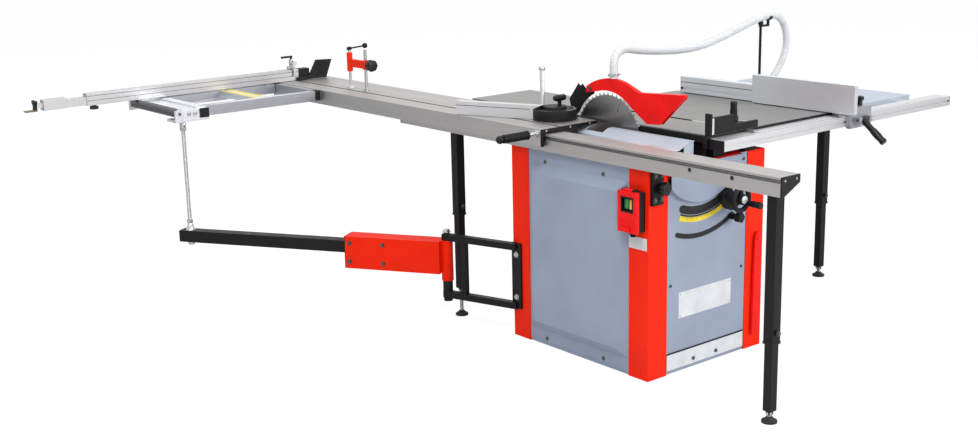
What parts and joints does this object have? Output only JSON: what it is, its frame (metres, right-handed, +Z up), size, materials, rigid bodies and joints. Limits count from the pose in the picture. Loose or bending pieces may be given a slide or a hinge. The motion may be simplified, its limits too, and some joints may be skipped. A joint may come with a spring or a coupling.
{
  "type": "sliding table saw",
  "caption": "Sliding table saw: sheet cabinet with tilting, rising blade, sliding beam carriage, outrigger on a swing arm, crosscut fence, rip fence and dust hose.",
  "frame": {"origin": "middle of the cabinet's footprint on the floor", "axes": "+Z up, +Y along the feed away from the operator, +X to the operator's right"},
  "size_m": [3.0591, 3, 1.139],
  "materials": {
    "red_paint": "gloss",
    "grey_paint": "satin",
    "black_paint": "satin",
    "cast_iron": "ground",
    "sheet_grey": "satin",
    "steel": "brushed",
    "alloy": "anodised",
    "black_plastic": "matte",
    "red_plastic": "gloss",
    "clear_hose": "translucent",
    "green_button": "gloss",
    "yellow_button": "gloss",
    "belt_rubber": "matte"
  },
  "bodies": {
    "frame": {"cabinet_frame": "red_paint", "left_panel": "grey_paint", "front_panel": "grey_paint", "rear_panel": "grey_paint", "right_panel": "grey_paint", "base_tray": "black_paint", "main_table": "cast_iron", "table_insert": "black_plastic", "cover_strip": "grey_paint", "rear_extension": "steel", "right_extension": "sheet_grey", "rip_rail": "alloy", "beam_rail": "alloy", "beam_caps": "black_plastic", "beam_brackets": "black_paint", "leg_sleeves": "black_paint", "switch_box": "black_plastic", "hose_post": "black_paint", "hose": "clear_hose", "dust_port": "black_plastic", "push_stick": "red_plastic", "swing_bracket": "black_paint"},
    "front_leg": {"leg_front": "black_paint"},
    "left_leg": {"leg_left": "black_paint"},
    "right_leg": {"leg_right": "black_paint"},
    "switch_lid": {"switch_cover": "red_plastic"},
    "start": {"start_button": "green_button"},
    "stop": {"stop_button": "yellow_button"},
    "cradle": {"tilt_cradle": "cast_iron"},
    "tilt_lock": {"tilt_knob": "black_plastic"},
    "lift_wheel": {"rise_wheel": "black_plastic"},
    "lift": {"arbor_block": "cast_iron", "motor": "black_paint", "riving_knife": "steel", "drive_belt": "belt_rubber"},
    "guard": {"blade_guard": "red_plastic"},
    "spindle": {"arbor_shaft": "steel", "blade": "steel", "blade_flange": "steel"},
    "motor_shaft": {"motor_pulley": "steel"},
    "rip_slide_body": {"rip_carrier": "alloy"},
    "rip_handle": {"rip_lever": "black_plastic"},
    "rip_bar": {"rip_profile": "alloy"},
    "rip_face": {"rip_plate": "alloy"},
    "slider": {"carriage": "alloy", "push_handle": "black_plastic", "outrigger": "alloy", "clamp_post": "steel"},
    "roller": {"outrigger_roller": "black_plastic"},
    "crosscut": {"crosscut_fence": "alloy", "fence_shoe": "black_plastic"},
    "tele": {"crosscut_extension": "alloy"},
    "stop_flag": {"flip_stop": "alloy"},
    "clamp": {"clamp_arm": "red_plastic"},
    "plunger": {"clamp_plunger": "black_plastic"},
    "miter": {"miter_fence": "black_plastic"},
    "gauge": {"gauge_bar": "steel"},
    "gauge_top": {"gauge_head": "black_plastic"},
    "swing": {"swing_arm": "red_paint"},
    "swing_slide": {"swing_tube": "black_paint"}
  },
  "joints": [
    {"name": "front_leg_height", "type": "slide", "parent": "frame", "child": "front_leg", "axis": [0, 0, 1], "range_m": [0, 0.08]},
    {"name": "left_leg_height", "type": "slide", "parent": "frame", "child": "left_leg", "axis": [0, 0, 1], "range_m": [0, 0.08]},
    {"name": "right_leg_height", "type": "slide", "parent": "frame", "child": "right_leg", "axis": [0, 0, 1], "range_m": [0, 0.08]},
    {"name": "switch_lid_turn", "type": "hinge", "parent": "frame", "child": "switch_lid", "pos_m": [-0.344, -0.3, 0.694], "axis": [0, 1, 0], "range_deg": [0, 80]},
    {"name": "start_press", "type": "slide", "parent": "frame", "child": "start", "axis": [1, 0, 0], "range_m": [0, 0.004], "stiffness_N_per_m": 400, "springref_m": -0.001},
    {"name": "stop_press", "type": "slide", "parent": "frame", "child": "stop", "axis": [1, 0, 0], "range_m": [0, 0.004], "stiffness_N_per_m": 400, "springref_m": -0.001},
    {"name": "blade_tilt", "type": "hinge", "parent": "frame", "child": "cradle", "pos_m": [-0.045, 0, 0.85], "axis": [0, 1, 0], "range_deg": [0, 45], "deforming": ["hose"]},
    {"name": "tilt_lock_turn", "type": "hinge", "parent": "cradle", "child": "tilt_lock", "pos_m": [0.12307, -0.39, 0.5339], "axis": [0, 1, 0], "range_deg": [-120, 0]},
    {"name": "blade_rise", "type": "slide", "parent": "cradle", "child": "lift", "axis": [0, 0, 1], "range_m": [-0.09, 0], "deforming": ["hose"]},
    {"name": "lift_wheel_turn", "type": "hinge", "parent": "cradle", "child": "lift_wheel", "pos_m": [0.07941, -0.39, 0.61602], "axis": [0, 1, 0], "range_deg": [-297, 2]},
    {"name": "guard_turn", "type": "hinge", "parent": "lift", "child": "guard", "pos_m": [-0.045, 0.188, 0.965], "axis": [1, 0, 0], "range_deg": [-16.1, 0.1], "deforming": ["hose"]},
    {"name": "blade_spin", "type": "hinge", "parent": "lift", "child": "spindle", "pos_m": [0, 0.1, 0.783], "axis": [1, 0, 0], "continuous": true},
    {"name": "motor_spin", "type": "hinge", "parent": "lift", "child": "motor_shaft", "pos_m": [0, 0.1, 0.59], "axis": [1, 0, 0], "continuous": true},
    {"name": "rip_slide", "type": "slide", "parent": "frame", "child": "rip_slide_body", "axis": [1, 0, 0], "range_m": [-0.36, 0.45]},
    {"name": "rip_lever_turn", "type": "hinge", "parent": "rip_slide_body", "child": "rip_handle", "pos_m": [0.736, -0.481, 0.826], "axis": [1, 0, 0], "range_deg": [-70, 0]},
    {"name": "rip_bar_slide", "type": "slide", "parent": "rip_slide_body", "child": "rip_bar", "axis": [0, 1, 0], "range_m": [-0.25, 0.02]},
    {"name": "rip_face_slide", "type": "slide", "parent": "rip_bar", "child": "rip_face", "axis": [0, 1, 0], "range_m": [-0.02, 0.3]},
    {"name": "carriage_slide", "type": "slide", "parent": "frame", "child": "slider", "axis": [0, 1, 0], "range_m": [-1.85, 0]},
    {"name": "roller_spin", "type": "hinge", "parent": "slider", "child": "roller", "pos_m": [-1.06, 0, 0.83], "axis": [0, 1, 0], "continuous": true},
    {"name": "crosscut_pivot", "type": "hinge", "parent": "slider", "child": "crosscut", "pos_m": [-0.405, 2.01, 0.85], "axis": [0, 0, 1], "range_deg": [0, 45]},
    {"name": "tele_slide", "type": "slide", "parent": "crosscut", "child": "tele", "axis": [-1, 0, 0], "range_m": [-0.08, 0.25]},
    {"name": "stop_flip", "type": "hinge", "parent": "crosscut", "child": "stop_flag", "pos_m": [-0.268, 2.01, 0.91101], "axis": [1, 0, 0], "range_deg": [-85, 0]},
    {"name": "clamp_height", "type": "slide", "parent": "slider", "child": "clamp", "axis": [0, 0, 1], "range_m": [0, 0.04]},
    {"name": "plunger_press", "type": "slide", "parent": "clamp", "child": "plunger", "axis": [0, 0, 1], "range_m": [0, 0.03]},
    {"name": "miter_swing", "type": "hinge", "parent": "slider", "child": "miter", "pos_m": [-0.15, 0.285, 0.851], "axis": [0, 0, 1], "range_deg": [-10, 68]},
    {"name": "gauge_slide", "type": "slide", "parent": "frame", "child": "gauge", "axis": [0, -1, 0], "range_m": [-0.45, 0.05]},
    {"name": "gauge_turn", "type": "hinge", "parent": "gauge", "child": "gauge_top", "pos_m": [0.176, -0.33, 0.85], "axis": [0, 0, 1], "range_deg": [-45, 45]},
    {"name": "swing_turn", "type": "hinge", "parent": "frame", "child": "swing", "pos_m": [-0.411, 0.647, 0.25], "axis": [0, 0, 1], "range_deg": [-1, 112]},
    {"name": "swing_tube_slide", "type": "slide", "parent": "swing", "child": "swing_slide", "axis": [-0.5418, 0.8405, 0], "range_m": [-0.3, 0]}
  ],
  "couplings": [
    {"joint": "lift_wheel_turn", "follows": "blade_rise", "rad_per_m": 57.12},
    {"joint": "guard_turn", "follows": "blade_rise", "rad_per_m": 3.1},
    {"joint": "motor_spin", "follows": "blade_spin", "ratio": 1},
    {"joint": "swing_turn", "follows": "carriage_slide", "rad_per_m": -1.0498}
  ]
}
